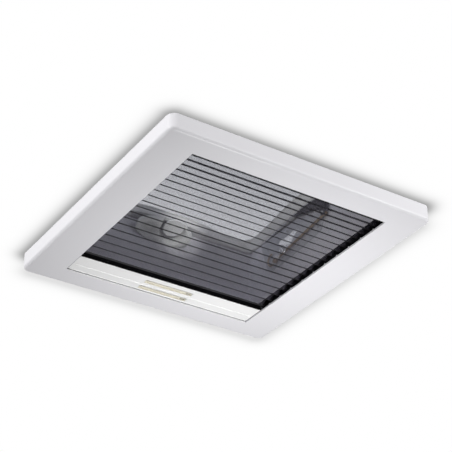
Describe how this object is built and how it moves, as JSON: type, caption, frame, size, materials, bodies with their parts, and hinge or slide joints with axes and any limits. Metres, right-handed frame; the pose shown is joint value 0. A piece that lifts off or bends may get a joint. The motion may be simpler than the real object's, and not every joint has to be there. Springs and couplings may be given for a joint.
{
  "type": "roof vent cover",
  "caption": "Square caravan rooflight: white ceiling frame, sliding pleated fly screen and blackout blind, and a hinged clear double dome with slotted stays and a rotary latch.",
  "frame": {"origin": "centre of the ceiling frame on its room-side face, which is the lowest plane of the part", "axes": "+Z out through the roof; +X along the pull bars; -Y the hinge side, +Y the latch side"},
  "size_m": [0.5, 0.5, 0.177],
  "materials": {
    "frame_white": "fine satin moulded",
    "bar_white": "satin",
    "liner_white": "satin moulded",
    "roof_white": "satin moulded",
    "guide_black": "extruded, matt",
    "clip_white": "gloss",
    "cassette_grey": "mill finish",
    "net_black": "woven net, pleated",
    "blackout_cloth": "foil-backed pleated cloth",
    "strip_black": "matt",
    "shoe_grey": "matt",
    "rubber_black": "EPDM",
    "pane_clear": "clear acrylic",
    "rim_grey": "satin moulded",
    "latch_grey": "satin moulded",
    "knob_grey": "satin moulded",
    "rod_bronze": "drawn, bronze coloured",
    "rail_grey": "satin",
    "bracket_dark": "glass-filled, matt",
    "steel": "zinc plated",
    "hinge_white": "moulded"
  },
  "bodies": {
    "frame": {"ceiling_frame": "frame_white", "side_guide_left": "guide_black", "side_guide_right": "guide_black", "guide_clips": "clip_white", "screen_cassette": "cassette_grey", "blackout_cassette": "cassette_grey", "screen_anchor_strip": "strip_black", "blackout_anchor_strip": "strip_black", "fly_net": "net_black", "blackout_cloth": "blackout_cloth", "well_liner": "liner_white", "roof_frame": "roof_white", "roof_gasket": "rubber_black", "dome_seal": "rubber_black", "clamp_brackets": "steel", "clamp_screws": "steel", "snap_studs": "steel", "hinge_base_left": "hinge_white", "hinge_base_right": "hinge_white", "hinge_pin_left": "steel", "hinge_pin_right": "steel", "stay_rail_left": "rail_grey", "stay_rail_right": "rail_grey", "rail_screws": "steel", "strike_plate": "steel", "strike_screws": "steel"},
    "dome": {"outer_dome": "pane_clear", "inner_pane": "pane_clear", "dome_rim": "rim_grey", "dome_screws": "steel", "hinge_arm_left": "hinge_white", "hinge_arm_right": "hinge_white", "stay_bracket_left": "bracket_dark", "stay_bracket_right": "bracket_dark", "stay_pivots": "steel", "latch_housing": "latch_grey", "latch_collar": "latch_grey"},
    "latch": {"latch_knob": "knob_grey", "latch_spindle": "steel", "latch_tongue": "steel"},
    "stay_left": {"stay_rod_left": "rod_bronze"},
    "stay_right": {"stay_rod_right": "rod_bronze"},
    "fly_screen_bar": {"fly_bar": "bar_white", "fly_bar_shoes": "shoe_grey", "net_clamp_strip": "strip_black"},
    "blackout_blind_bar": {"blackout_bar": "bar_white", "blackout_bar_shoes": "shoe_grey", "blackout_clamp_strip": "strip_black"}
  },
  "joints": [
    {"name": "dome_hinge", "type": "hinge", "parent": "frame", "child": "dome", "pos_m": [0, -0.203, 0.113], "axis": [1, 0, 0], "range_deg": [0, 50]},
    {"name": "latch_turn", "type": "hinge", "parent": "dome", "child": "latch", "pos_m": [0, 0.151, 0.1135], "axis": [0, -0.309, -0.9511], "range_deg": [0, 90]},
    {"name": "stay_left_pivot", "type": "hinge", "parent": "dome", "child": "stay_left", "pos_m": [-0.1747, -0.05422, 0.09394], "axis": [1, 0, 0], "range_deg": [-100, 0]},
    {"name": "stay_right_pivot", "type": "hinge", "parent": "dome", "child": "stay_right", "pos_m": [0.1747, -0.05422, 0.09394], "axis": [1, 0, 0], "range_deg": [-100, 0]},
    {"name": "fly_screen_slide", "type": "slide", "parent": "frame", "child": "fly_screen_bar", "axis": [0, 1, 0], "range_m": [-0.342, 0], "deforming": ["fly_net"]},
    {"name": "blackout_slide", "type": "slide", "parent": "frame", "child": "blackout_blind_bar", "axis": [0, 1, 0], "range_m": [-0.342, 0], "deforming": ["blackout_cloth"]}
  ],
  "couplings": [
    {"joint": "stay_left_pivot", "follows": "dome_hinge", "ratio": -2},
    {"joint": "stay_right_pivot", "follows": "dome_hinge", "ratio": -2},
    {"joint": "blackout_slide", "follows": "fly_screen_slide", "ratio": 1}
  ]
}
